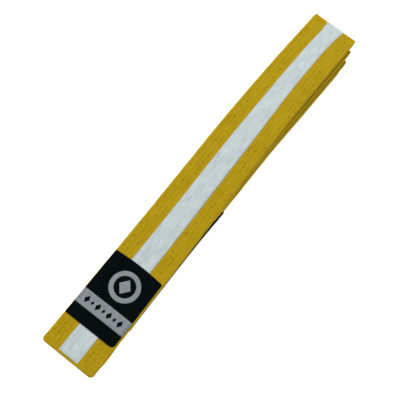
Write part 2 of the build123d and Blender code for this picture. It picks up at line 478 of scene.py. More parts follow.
def outward_way(points: Array) -> int:
    """1 if a tube's faces, as add_tube makes them, point out of it, else -1."""
    loop = points[len(points) // 2]
    middle = loop.mean(axis=0)
    step = points[len(points) // 2 + 1].mean(axis=0) - middle
    area = np.zeros(3)
    for a, b in zip(loop, np.roll(loop, -1, axis=0)):
        area += np.cross(a - middle, b - middle)
    return 1 if float(area @ step) > 0 else -1


# ---- the surface of the cloth ----


class Quilting:
    """How the rows of stitches shape the two faces of the belt."""

    ROW_REACH = 0.42 * MM
    EDGE_AT, EDGE_REACH, EDGE_DIP = 8.3 * MM, 0.5 * MM, 0.1 * MM
    SEAM_REACH, SEAM_DIP = 0.4 * MM, 0.15 * MM
    RIB_PITCH, RIB_RISE = 1.55 * MM, 0.012 * MM
    # Stretches where the ribbon is narrower, swells and strays: see between().
    PINCHED = (170.0, 95.0, 305.0, 13.0)
    BULGE = (60.0, 70.0, 170.0, 60.0)
    STRAY = (200.0, 80.0, 290.0, 28.0)

    @staticmethod
    def dip(u: Array, s: Array) -> Array:
        """How deep the rows on the side bands pull the cover in."""
        pull = 0.78 + 0.22 * np.cos(math.tau * s / STRIP.stitch_period)
        total = np.zeros(np.broadcast(u, s).shape)
        for row in STRIP.band_rows:
            total = total + np.exp(-(((np.abs(u) - row) / Quilting.ROW_REACH) ** 2))
        edge = np.exp(-(((np.abs(u) - Quilting.EDGE_AT) / Quilting.EDGE_REACH) ** 2))
        return STRIP.quilt_dip * pull * total + Quilting.EDGE_DIP * edge

    @staticmethod
    def cover(u: Array, s: Array, side: float) -> Array:
        """Height of the cover's face over the middle of the belt.

        Args:
            u: Distance across.
            s: Distance along the whole belt.
            side: 1 for the face with the label, -1 for the back.

        Returns:
            Heights, always positive.
        """
        seed = 3 if side > 0 else 4
        pucker = 0.055 * MM * soft_noise(u, s * 0.8, seed, 7 * MM)
        crown = 0.05 * MM * soft_noise(u * 0.3, s, seed + 40, 26 * MM)
        under = np.abs(u) < STRIP.ribbon_half_width
        uneven = np.where(under, 0.0, pucker + crown)
        return STRIP.half_cover - Quilting.dip(u, s) + uneven

    @staticmethod
    def ribbon_run(s: Array) -> Pair:
        """How the ribbon strays on the cover: its shift across and its width as a share."""
        near_tip = 1 - smooth(s / (35 * MM))
        pinched = between(s, *Quilting.PINCHED)
        shift = 0.3 * MM * between(s, *Quilting.BULGE) - 0.85 * MM * between(s, *Quilting.STRAY)
        return shift - 0.1 * MM * near_tip, 1 - 0.14 * pinched - 0.03 * near_tip

    @staticmethod
    def ribbon(u: Array, s: Array, side: float) -> Array:
        """Height of the ribbon's face over the middle of the belt."""
        part = np.abs(u) / STRIP.ribbon_half_width
        body = np.sqrt(np.clip(1 - part**14, 0, 1))
        pull = 0.75 + 0.25 * np.cos(math.tau * s / STRIP.stitch_period)
        row = np.exp(-(((np.abs(u) - STRIP.ribbon_row) / Quilting.SEAM_REACH) ** 2))
        seed = 8 if side > 0 else 9
        crease = 0.04 * MM * soft_noise(u * 2.4, s * 0.28, seed, 8 * MM)
        rib = Quilting.RIB_RISE * np.cos(math.tau * u / Quilting.RIB_PITCH)
        rise = STRIP.ribbon_thickness + 0.03 * MM + crease + rib
        return STRIP.half_cover + body * (rise - Quilting.SEAM_DIP * pull * row)


def pressed_in(line: LeafLine, y: Array) -> Array:
    """How much thinner the last leaf is under the rank bar, on each face."""
    if line.number != LAST_LEAF:
        return np.zeros_like(y)
    rise = smooth((y - BAR.start + 1.5 * MM) / (1.5 * MM))
    fall = smooth((BAR.start + BAR.length + 1.5 * MM - y) / (1.5 * MM))
    return BAR.press * np.minimum(rise, fall)


@dataclass(frozen=True)
class BarSizes:
    """The sleeve near the far end of the belt."""

    start: float = 28.0 * MM
    length: float = 108.0 * MM
    half_width: float = 20.45 * MM
    half_height: float = 1.84 * MM
    wall: float = 0.28 * MM
    edge_round: float = 1.5 * MM
    flat_points: int = 41
    press: float = 0.32 * MM
    stitch_inset: float = 2.0 * MM


BAR = BarSizes()


class Section:
    """Cross-sections of the cover and of a ribbon, as points round a loop."""

    @staticmethod
    def cover_half() -> Array:
        """Places across one face of the cover, from left to right, without its round edges."""
        band = [7.6, 8.3, 9.0, 9.6, 10.1, 10.4, 10.7, 11.2, 12.0, 12.8, 13.3, 13.6]
        band += [13.9, 14.4, 15.2, 16.0, 16.5, 16.8, 17.1, 17.6, 18.1]
        right = [0.0, 3.8] + band
        left = [-x for x in reversed(right[1:])]
        return np.array(left + right) * MM

    @staticmethod
    def ribbon_half() -> Array:
        """Places across one face of a ribbon, from left to right."""
        right = [0.0, 0.8, 1.55, 2.3, 3.1, 3.9, 4.7, 5.4, 6.0, 6.3, 6.6, 6.9, 7.2, 7.45]
        left = [-x for x in reversed(right[1:])]
        return np.array(left + right) * MM

    @staticmethod
    def round_edge() -> Pair:
        """The upper half of the cover's round right edge, as shares outward and upward."""
        angle = np.linspace(math.pi / 2, 0, EDGE_STEPS + 1)[1:]
        return np.cos(angle), np.sin(angle)


def cover_loop() -> tuple[Array, Array, Array]:
    """The cover's loop: across, share of the height, and the face that each point is on.

    It starts at the left edge and goes over the top to the right edge and back below.
    """
    flat = Section.cover_half()
    out, up = Section.round_edge()
    radius = STRIP.half_width - flat[-1]
    right = flat[-1] + radius * out
    upper_u = np.concatenate([-right[::-1], flat, right])
    share = np.concatenate([up[::-1], np.ones_like(flat), up])
    lower_u = upper_u[1:-1][::-1]
    lower_share = share[1:-1][::-1]
    u = np.concatenate([upper_u, lower_u])
    shares = np.concatenate([share, lower_share])
    face = np.concatenate([np.ones_like(upper_u), -np.ones_like(lower_u)])
    return u, shares, face


COVER_LOOP = cover_loop()


def cover_section(s: Array, side: int) -> Pair:
    """The cover's loops at some places along the belt.

    Args:
        s: Distances along the whole belt, one for each loop.
        side: 1 if a leaf's upper face is the labelled face of the belt, else -1.

    Returns:
        Across and height for every point, shaped (loops, points in a loop).
    """
    u, share, face = COVER_LOOP
    across = np.broadcast_to(u, (len(s), len(u)))
    along = np.broadcast_to(s[:, None], across.shape)
    top = Quilting.cover(across, along, float(side))
    bottom = Quilting.cover(across, along, float(-side))
    height = np.where(face > 0, top, -bottom) * share
    frill = 0.08 * MM * soft_noise(across * 0.05, along, 31, 11 * MM)
    outer = smooth((np.abs(across) - 17 * MM) / (3 * MM))
    return across + np.sign(across) * outer * frill, height


def ribbon_section(s: Array, side: int, face: Face) -> Pair:
    """A ribbon's loops, in the same terms as cover_section."""
    flat = Section.ribbon_half()
    edge = STRIP.ribbon_half_width
    u = np.concatenate([[-edge], flat, [edge], flat[::-1]])
    outer = np.concatenate([[0.5], np.ones_like(flat), [0.5], np.zeros_like(flat)])
    across = np.broadcast_to(u, (len(s), len(u)))
    along = np.broadcast_to(s[:, None], across.shape)
    skin = Quilting.ribbon(across, along, float(side * face.value))
    base = STRIP.half_cover - 0.12 * MM
    shift, share = Quilting.ribbon_run(along)
    wander = 0.05 * MM * soft_noise(across * 0.0, along, 57, 45 * MM)
    return across * share + shift + wander, face.value * (base + (skin - base) * outer)


# ---- stitches ----


@dataclass
class StitchRun:
    """Stitches laid one after another along a path in the cloth."""

    period: float = STRIP.stitch_period
    share: float = 0.8
    radius: float = 0.12 * MM
    rise: float = 0.05 * MM

    def lay(self, mesh: ClothMesh, starts: Array, path) -> None:
        """Add one stitch at each start.

        Args:
            mesh: Where the stitches go.
            starts: Distances along the path.
            path: Gives (points, cloth) for distances along it, a sideways offset and a rise.
        """
        shares = np.array([0.0, 0.3, 0.7, 1.0])
        rises = np.array([-0.12 * MM, self.rise, self.rise, -0.12 * MM])
        thick = np.array([0.55, 1.0, 1.0, 0.55]) * self.radius
        distance = starts[:, None] + shares * self.period * self.share
        rings = []
        cloths = []
        for side, up in ((-1, 0), (0, 1), (1, 0), (0, -1)):
            points, cloth = path(
                distance, side * thick + 0 * distance, rises + up * thick + 0 * distance
            )
            rings.append(points)
            cloths.append(cloth)
        points = np.stack(rings, axis=2)
        cloth = np.stack(cloths, axis=2)
        count = len(starts)
        if not count:
            return
        first = mesh.add_points(points, cloth)
        index = first + np.arange(count * 16).reshape(count, 4, 4)
        turned = np.roll(index, -1, axis=2)
        quads = np.stack([index[:, :-1], turned[:, :-1], turned[:, 1:], index[:, 1:]], axis=-1)
        mesh.faces += [tuple(q) for q in quads.reshape(-1, 4).tolist()]
        mesh.faces += [tuple(q) for q in index[:, 0, ::-1].tolist()]
        mesh.faces += [tuple(q) for q in index[:, -1].tolist()]

    def sew(self, mesh: ClothMesh, low: float, high: float, path: Path) -> None:
        """Add stitches from low to high along a path."""
        self.lay(mesh, np.arange(low, high - self.period, self.period), path)


def stitch_starts(low: float, high: float, offset: float = 0.0) -> Array:
    """Where the stitches between two places along the belt start."""
    period = STRIP.stitch_period
    first = math.ceil((low - offset) / period)
    last = math.floor((high - offset) / period - 0.85)
    return offset + period * np.arange(first, last + 1)


def row_path(row: float, face: Face, side: int, ribbon: bool, place: Path) -> Path:
    """The path of one row, as StitchRun.lay needs it.

    Args:
        row: Distance across, with its sign.
        face: The face of the leaf that the row is on.
        side: 1 if the leaf's upper face is the labelled face of the belt, else -1.
        ribbon: True on a ribbon, False on the cover.
        place: Gives points for position along the belt, across and height.

    Returns:
        A function of distance along the belt, a sideways offset and a rise.
    """
    skin = Quilting.ribbon if ribbon else Quilting.cover

    def path(distance: Array, beside: Array, rise: Array) -> Pair:
        """Points over the row and their cloth coordinates."""
        shift, share = Quilting.ribbon_run(distance) if ribbon else (0.0, 1.0)
        u = row * share + shift + beside
        n = skin(row + 0 * distance, distance, float(side * face.value)) + rise
        return place(distance, u, face.value * n), cloth_places(beside, distance, rise)

    return path


# ---- shader node groups ----

Colour = tuple[float, float, float]
Socket = bpy.types.NodeSocket


class Bench:
    """Adds nodes to one tree and joins them."""

    def __init__(self, tree: Tree) -> None:
        """Work on a tree."""
        self.tree = tree

    def put(self, socket: Socket, value: Socket | float | Colour) -> None:
        """Join an output to a socket, or set the socket's number or colour."""
        if isinstance(value, bpy.types.NodeSocket):
            self.tree.links.new(value, socket)
        elif isinstance(value, tuple) and len(value) == 3 and socket.type == "RGBA":
            socket.default_value = (*value, 1.0)
        else:
            socket.default_value = value

    def math(self, operation: str, *values: Socket | float) -> Socket:
        """One Math node."""
        node = self.tree.nodes.new("ShaderNodeMath")
        node.operation = operation
        for socket, value in zip(node.inputs, values):
            self.put(socket, value)
        return node.outputs[0]

    def sum_of(self, first: Socket, share: float, second: Socket, other: float) -> Socket:
        """Two values added, each times its own share."""
        return self.math("MULTIPLY_ADD", first, share, self.math("MULTIPLY", second, other))

    def scaled(self, scale: float, *values: Socket) -> list[Socket]:
        """Some values, each times the same scale."""
        return [self.math("MULTIPLY", value, scale) for value in values]

    def wave(self, turns: Socket | float) -> Socket:
        """A sine from 0 to 1 of a number of turns."""
        sine = self.math("SINE", self.math("MULTIPLY", turns, math.tau))
        return self.math("MULTIPLY_ADD", sine, 0.5, 0.5)

    def step(self, value: Socket, low: Socket | float, high: Socket | float) -> Socket:
        """A soft step from 0 at low to 1 at high."""
        node = self.tree.nodes.new("ShaderNodeMapRange")
        node.interpolation_type = "SMOOTHSTEP"
        for name, held in (("Value", value), ("From Min", low), ("From Max", high)):
            self.put(node.inputs[name], held)
        return node.outputs["Result"]

    def vector(self, x: Socket | float, y: Socket | float, z: Socket | float = 0.0) -> Socket:
        """Three numbers as one vector."""
        node = self.tree.nodes.new("ShaderNodeCombineXYZ")
        for socket, value in zip(node.inputs, (x, y, z)):
            self.put(socket, value)
        return node.outputs[0]

    def noise(self, where: Socket, detail: float = 3.0, roughness: float = 0.55) -> Socket:
        """Soft noise from 0 to 1, with a feature size of about one unit."""
        node = self.tree.nodes.new("ShaderNodeTexNoise")
        self.put(node.inputs["Vector"], where)
        node.inputs["Scale"].default_value = 1.0
        node.inputs["Detail"].default_value = detail
        node.inputs["Roughness"].default_value = roughness
        return node.outputs[0]

    def chance(self, where: Socket) -> Socket:
        """A random number from 0 to 1 for each cell."""
        node = self.tree.nodes.new("ShaderNodeTexWhiteNoise")
        self.put(node.inputs["Vector"], where)
        return node.outputs["Value"]

    def mix(self, share: Socket | float, first: Socket | Colour, second: Socket | Colour) -> Socket:
        """A colour between two."""
        node = self.tree.nodes.new("ShaderNodeMix")
        node.data_type = "RGBA"
        self.put(node.inputs["Factor"], share)
        self.put(node.inputs[6], first)
        self.put(node.inputs[7], second)
        return node.outputs[2]

    def cloth(self) -> tuple[Socket, Socket]:
        """Where a point is in the cloth: across and along, in metres."""
        read = self.tree.nodes.new("ShaderNodeAttribute")
        read.attribute_name = CLOTH
        split = self.tree.nodes.new("ShaderNodeSeparateXYZ")
        self.put(split.inputs[0], read.outputs["Vector"])
        return split.outputs[0], split.outputs[1]


class ClothEffects:
    """The effects that the finishes share, each a node group that is built once."""

    def __init__(self) -> None:
        """Build every group."""
        self.twill = self._twill()
        self.rib_weave = self._rib_weave()
        self.mottle = self._mottle()
        self.needle_marks = self._needle_hole_shade()

    @staticmethod
    def _group(name: str, inputs: tuple[str, ...], outputs: tuple[str, ...]) -> tuple:
        """An empty group of number sockets.

        Args:
            name: The group's name.
            inputs: Names of its inputs.
            outputs: Names of its outputs.

        Returns:
            The group, its bench, its inputs by name and its output node.
        """
        tree = bpy.data.node_groups.new(name, "ShaderNodeTree")
        for label in inputs:
            tree.interface.new_socket(name=label, in_out="INPUT", socket_type="NodeSocketFloat")
        for label in outputs:
            tree.interface.new_socket(name=label, in_out="OUTPUT", socket_type="NodeSocketFloat")
        entry = tree.nodes.new("NodeGroupInput")
        leave = tree.nodes.new("NodeGroupOutput")
        return tree, Bench(tree), entry.outputs, leave.inputs

    def _twill(self) -> Tree:
        """Slanting ribs broken up by the yarns that cross them."""
        names = ("Across", "Along", "Rib", "Lean")
        tree, bench, into, out = self._group("twill", names, ("Height", "Tint"))
        across = bench.math("DIVIDE", into["Across"], into["Rib"])
        along = bench.math("DIVIDE", into["Along"], into["Rib"])
        drift = bench.noise(bench.vector(*bench.scaled(0.13, across, along)), 2.0)
        lean = bench.math("MULTIPLY_ADD", along, into["Lean"], across)
        rib = bench.wave(bench.math("MULTIPLY_ADD", drift, 0.7, lean))
        yarn = bench.wave(bench.sum_of(across, -0.35, along, 1.45))
        fuzz = bench.noise(bench.vector(*bench.scaled(1.7, across, along), 4.0), 3.0)
        height = bench.sum_of(rib, 0.55, yarn, 0.25)
        bench.put(out["Height"], bench.math("MULTIPLY_ADD", fuzz, 0.35, height))
        bench.put(out["Tint"], bench.sum_of(rib, 0.5, fuzz, 0.5))
        return tree

    def _rib_weave(self) -> Tree:
        """Fine threads across the piece, each slightly uneven, as in ribbon and woven labels."""
        names = ("Across", "Along", "Thread", "Cross")
        tree, bench, into, out = self._group("rib_weave", names, ("Height", "Tint"))
        along = bench.math("DIVIDE", into["Along"], into["Thread"])
        across = bench.math("DIVIDE", into["Across"], into["Cross"])
        row = bench.math("FLOOR", along)
        slip = bench.math("MULTIPLY", bench.chance(bench.vector(row, 3.0, 7.0)), 0.35)
        thread = bench.wave(along)
        cross = bench.wave(bench.math("ADD", across, slip))
        strength = bench.noise(bench.vector(bench.math("MULTIPLY", across, 0.35), along, 2.0), 2.0)
        height = bench.sum_of(cross, 0.35, thread, 0.65)
        bench.put(out["Height"], height)
        bench.put(out["Tint"], bench.sum_of(strength, 0.6, height, 0.4))
        return tree

    def _mottle(self) -> Tree:
        """Cloudy unevenness of the dye, drawn out along the cloth."""
        names = ("Across", "Along", "Size", "Stretch", "Seed")
        tree, bench, into, out = self._group("mottle", names, ("Value",))
        across = bench.math("DIVIDE", into["Across"], into["Size"])
        along = bench.math(
            "DIVIDE", into["Along"], bench.math("MULTIPLY", into["Size"], into["Stretch"])
        )
        cloud = bench.noise(bench.vector(across, along, into["Seed"]), 4.0, 0.6)
        bench.put(out["Value"], bench.step(cloud, 0.3, 0.7))
        return tree

    def _needle_hole_shade(self) -> Tree:
        """Mask of small needle holes along a row and its mirror image, for painted shade in them.
        """
        names = ("Across", "Along", "Row", "Period", "Radius", "Share")
        tree, bench, into, out = self._group("needle_marks", names, ("Mask",))
        place = bench.math("DIVIDE", into["Along"], into["Period"])
        cell = bench.math("FLOOR", bench.math("ADD", place, 0.5))
        side = bench.math("SIGN", into["Across"])
        key = bench.vector(cell, side, bench.math("MULTIPLY", into["Row"], 1000.0))
        beside = bench.math("SUBTRACT", bench.math("ABSOLUTE", into["Across"]), into["Row"])
        slip = bench.math("MULTIPLY_ADD", bench.chance(key), 2.4, -1.2)
        beside = bench.math("MULTIPLY_ADD", slip, into["Radius"], beside)
        ahead = bench.math("MULTIPLY", bench.math("SUBTRACT", place, cell), into["Period"])
        gap = bench.math(
            "POWER",
            bench.math("ADD", bench.math("POWER", beside, 2.0), bench.math("POWER", ahead, 2.0)),
            0.5,
        )
        # 1 inside a needle hole, where the finishes paint shade.
        hole = bench.math("SUBTRACT", 1.0, bench.step(gap, 0.0, into["Radius"]))
        shown = bench.chance(
            bench.vector(
                cell, bench.math("MULTIPLY", into["Row"], 777.0), bench.math("ADD", side, 5.0)
            )
        )
        held = bench.step(shown, bench.math("SUBTRACT", 1.0, into["Share"]), 1.0)
        bench.put(out["Mask"], bench.math("MULTIPLY", hole, held))
        return tree


EFFECTS = ClothEffects()


@dataclass(frozen=True)
class Finish:
    """What every finish has in common."""

    name: str
    light: Colour
    deep: Colour
    roughness: float = 0.85
    relief: float = 0.03 * MM
    sheen: float = 0.0
    specular: float = 0.06

    def effect(
        self, bench: Bench, group: Tree, **values: Socket | float
    ) -> bpy.types.ShaderNodeGroup:
        """Place one of the shared effects in a material."""
        node = bench.tree.nodes.new("ShaderNodeGroup")
        node.node_tree = group
        for label, value in values.items():
            bench.put(node.inputs[label], value)
        return node

    def surface(self, bench: Bench, colour: Socket, roughness: Socket, height: Socket) -> None:
        """Join the finish's colour, roughness and relief to its shader."""
        tree = bench.tree
        shader = tree.nodes.new("ShaderNodeBsdfPrincipled")
        shader.inputs["Sheen Weight"].default_value = self.sheen
        shader.inputs["Sheen Roughness"].default_value = 0.5
        shader.inputs["Specular IOR Level"].default_value = self.specular
        bump = tree.nodes.new("ShaderNodeBump")
        bump.inputs["Distance"].default_value = self.relief
        bump.inputs["Strength"].default_value = 1.0
        bench.put(bump.inputs["Height"], height)
        bench.put(shader.inputs["Base Color"], colour)
        bench.put(shader.inputs["Roughness"], roughness)
        bench.put(shader.inputs["Normal"], bump.outputs[0])
        out = tree.nodes.new("ShaderNodeOutputMaterial")
        bench.put(out.inputs[0], shader.outputs[0])

    def paint(self, bench: Bench, place: dict[str, Socket]) -> tuple[Socket, Socket, Socket]:
        """The colour, roughness and relief at a place in the cloth."""
        raise NotImplementedError

    def build(self) -> Material:
        """Make the material."""
        material = bpy.data.materials.new(self.name)
        material.use_nodes = True
        material.node_tree.nodes.clear()
        bench = Bench(material.node_tree)
        across, along = bench.cloth()
        self.surface(bench, *self.paint(bench, {"Across": across, "Along": along}))
        return material


@dataclass(frozen=True)
class CoverCotton(Finish):
    """Dyed cotton drill with rows of quilting, and painted shade in its needle holes."""

    # Painted shade: a dark brown mixed into the cover where the needle holes pucker.
    hole: Colour = (0.07, 0.045, 0.006)
    rib: float = 0.62 * MM
    rows: tuple[float, ...] = STRIP.band_rows

    def paint(self, bench: Bench, place: dict[str, Socket]) -> tuple[Socket, Socket, Socket]:
        """The colour, roughness and relief."""
        twill = self.effect(bench, EFFECTS.twill, **place, Rib=self.rib, Lean=0.75)
        broad = self.effect(bench, EFFECTS.mottle, **place, Size=9 * MM, Stretch=1.6, Seed=2.0)
        fine = self.effect(bench, EFFECTS.mottle, **place, Size=1.9 * MM, Stretch=1.2, Seed=9.0)
        cloud = bench.sum_of(broad.outputs[0], 0.5, fine.outputs[0], 0.32)
        cloud = bench.math("MULTIPLY_ADD", twill.outputs["Tint"], 0.3, cloud)
        colour = bench.mix(cloud, self.deep, self.light)
        hole_shade_mask = 0.0
        for number, row in enumerate(self.rows):
            values = {"Row": row, "Period": STRIP.stitch_period, "Radius": 0.78 * MM, "Share": 0.52}
            mask = self.effect(bench, EFFECTS.needle_marks, **place, **values).outputs[0]
            hole_shade_mask = mask if number == 0 else bench.math("MAXIMUM", hole_shade_mask, mask)
        # Painted shade in the needle holes, which also dip the relief below.
        colour = bench.mix(hole_shade_mask, colour, self.hole)
        rough = bench.math("MULTIPLY_ADD", cloud, -0.1, self.roughness)
        height = bench.math("MULTIPLY_ADD", hole_shade_mask, -1.6, twill.outputs["Height"])
        return colour, rough, height


@dataclass(frozen=True)
class RibbonSatin(Finish):
    """White woven ribbon, with painted shade in its needle holes and a painted shadow line along
    each edge.
    """

    # Painted shade in the needle holes.
    hole: Colour = (0.2, 0.2, 0.22)
    # A painted shadow line along both edges of the ribbon, from edge_from outward.
    edge: Colour = (0.16, 0.135, 0.06)
    edge_from: float = 7.0 * MM
    thread: float = 0.42 * MM

    def paint(self, bench: Bench, place: dict[str, Socket]) -> tuple[Socket, Socket, Socket]:
        """The colour, roughness and relief."""
        weave = self.effect(bench, EFFECTS.rib_weave, **place, Thread=self.thread, Cross=0.55 * MM)
        streak = self.effect(bench, EFFECTS.mottle, **place, Size=1.5 * MM, Stretch=7.0, Seed=4.0)
        cloud = self.effect(bench, EFFECTS.mottle, **place, Size=6 * MM, Stretch=2.2, Seed=14.0)
        tone = bench.sum_of(streak.outputs[0], 0.42, cloud.outputs[0], 0.33)
        tone = bench.math("MULTIPLY_ADD", weave.outputs["Tint"], 0.3, tone)
        colour = bench.mix(tone, self.deep, self.light)
        values = {
            "Row": STRIP.ribbon_row,
            "Period": STRIP.stitch_period,
            "Radius": 0.72 * MM,
            "Share": 0.45,
        }
        edge = self.effect(bench, EFFECTS.needle_marks, **place, **values).outputs[0]
        values["Row"] = 3.1 * MM
        inner = self.effect(bench, EFFECTS.needle_marks, **place, **values).outputs[0]
        hole_shade_mask = bench.math("MAXIMUM", edge, inner)
        # Painted shade in the needle holes.
        colour = bench.mix(bench.math("MULTIPLY", hole_shade_mask, 0.6), colour, self.hole)
        # Painted shadow line along the ribbon's edges.
        side = bench.step(
            bench.math("ABSOLUTE", place["Across"]), self.edge_from, STRIP.ribbon_half_width
        )
        colour = bench.mix(bench.math("MULTIPLY", side, 0.55), colour, self.edge)
        rough = bench.math("MULTIPLY_ADD", streak.outputs[0], 0.15, self.roughness)
        height = bench.math("MULTIPLY_ADD", streak.outputs[0], 1.2, weave.outputs["Height"])
        return colour, rough, height


@dataclass(frozen=True)
class WovenFinish(Finish):
    """Plain woven cloth of one colour, for the label, its pale figures and the rank bar."""

    thread: float = 0.4 * MM
    cross: float = 0.3 * MM

    def paint(self, bench: Bench, place: dict[str, Socket]) -> tuple[Socket, Socket, Socket]:
        """The colour, roughness and relief."""
        weave = self.effect(bench, EFFECTS.rib_weave, **place, Thread=self.thread, Cross=self.cross)
        worn = self.effect(bench, EFFECTS.mottle, **place, Size=5 * MM, Stretch=1.0, Seed=6.0)
        tone = bench.sum_of(worn.outputs[0], 0.5, weave.outputs["Tint"], 0.5)
        colour = bench.mix(tone, self.deep, self.light)
        rough = bench.math("MULTIPLY_ADD", weave.outputs["Tint"], -0.12, self.roughness)
        return colour, rough, weave.outputs["Height"]


@dataclass(frozen=True)
class ThreadFinish(Finish):
    """Spun sewing thread."""

    def paint(self, bench: Bench, place: dict[str, Socket]) -> tuple[Socket, Socket, Socket]:
        """The colour, roughness and relief."""
        ply = self.effect(bench, EFFECTS.twill, **place, Rib=0.22 * MM, Lean=1.4)
        dye = self.effect(bench, EFFECTS.mottle, **place, Size=2.4 * MM, Stretch=2.0, Seed=21.0)
        tone = bench.sum_of(dye.outputs[0], 0.6, ply.outputs["Tint"], 0.4)
        colour = bench.mix(tone, self.deep, self.light)
        rough = bench.math("MULTIPLY_ADD", tone, -0.15, self.roughness)
        return colour, rough, ply.outputs["Height"]


class Palette:
    """Every finish of the belt, built once."""

    def __init__(self) -> None:
        """Build the materials."""
        self.cover = CoverCotton(
            "yellow_cotton", (0.404, 0.272, 0.0060), (0.314, 0.206, 0.0039), 0.92
        ).build()
        self.ribbon = RibbonSatin(
            "white_ribbon", (0.525, 0.592, 0.597), (0.352, 0.406, 0.414), 0.62, specular=0.15
        ).build()
        self.label = WovenFinish(
            "label_weave", (0.0022, 0.0040, 0.0052), (0.0010, 0.0022, 0.0030), 0.9, specular=0.02
        ).build()
        self.figure = WovenFinish(
            "label_figure", (0.25, 0.27, 0.285), (0.17, 0.187, 0.203), 0.75
        ).build()
        self.bar = WovenFinish(
            "black_cotton", (
                0.006, 0.006, 0.006
            ), (0.002, 0.002, 0.002), 0.9, specular=0.03, thread=0.6 * MM, cross=0.5 * MM
        ).build()
        self.yellow_thread = ThreadFinish(
            "yellow_thread", (0.385, 0.258, 0.0065), (0.285, 0.187, 0.0042), 0.85
        ).build()
        self.white_thread = ThreadFinish(
            "white_thread", (0.55, 0.58, 0.60), (0.40, 0.43, 0.45), 0.75
        ).build()
        self.black_thread = ThreadFinish(
            "black_thread", (0.006, 0.006, 0.007), (0.002, 0.002, 0.002), 0.8, specular=0.03
        ).build()


# ---- the belt ----


def cloth_places(u: Array, s: Array, n: Array) -> Array:
    """Cloth coordinates from across, along and height."""
    u, s, n = np.broadcast_arrays(u, s, n)
    return np.stack([u, s, n], axis=-1)


def make_tube(name: str, points: Array, cloth: Array, material: Material) -> Piece:
    """One capped tube as an object with its faces outward."""
    mesh = ClothMesh(name)
    mesh.add_tube(points, cloth)
    return mesh.build(material, outward_way(points))


# A finished end of the belt: the rows of points over its edge (in mm), where its thin edge and
# its corners start, and the seam across it.
END_ROWS = (0.0, 0.08, 0.22, 0.42, 0.7, 1.0, 1.4, 1.9, 2.5, 3.2)
END_ROW_GAP = 0.04 * MM
END_ZONE, END_STOP = 4 * MM, 4.6 * MM
END_KNEE, END_THIN = 14 * MM, 1.4 * MM
END_SEAM, END_SEAM_AT, END_SEAM_REACH = 0.16, 2.3 * MM, 0.5 * MM
END_FIRST_STITCH = 3.6 * MM


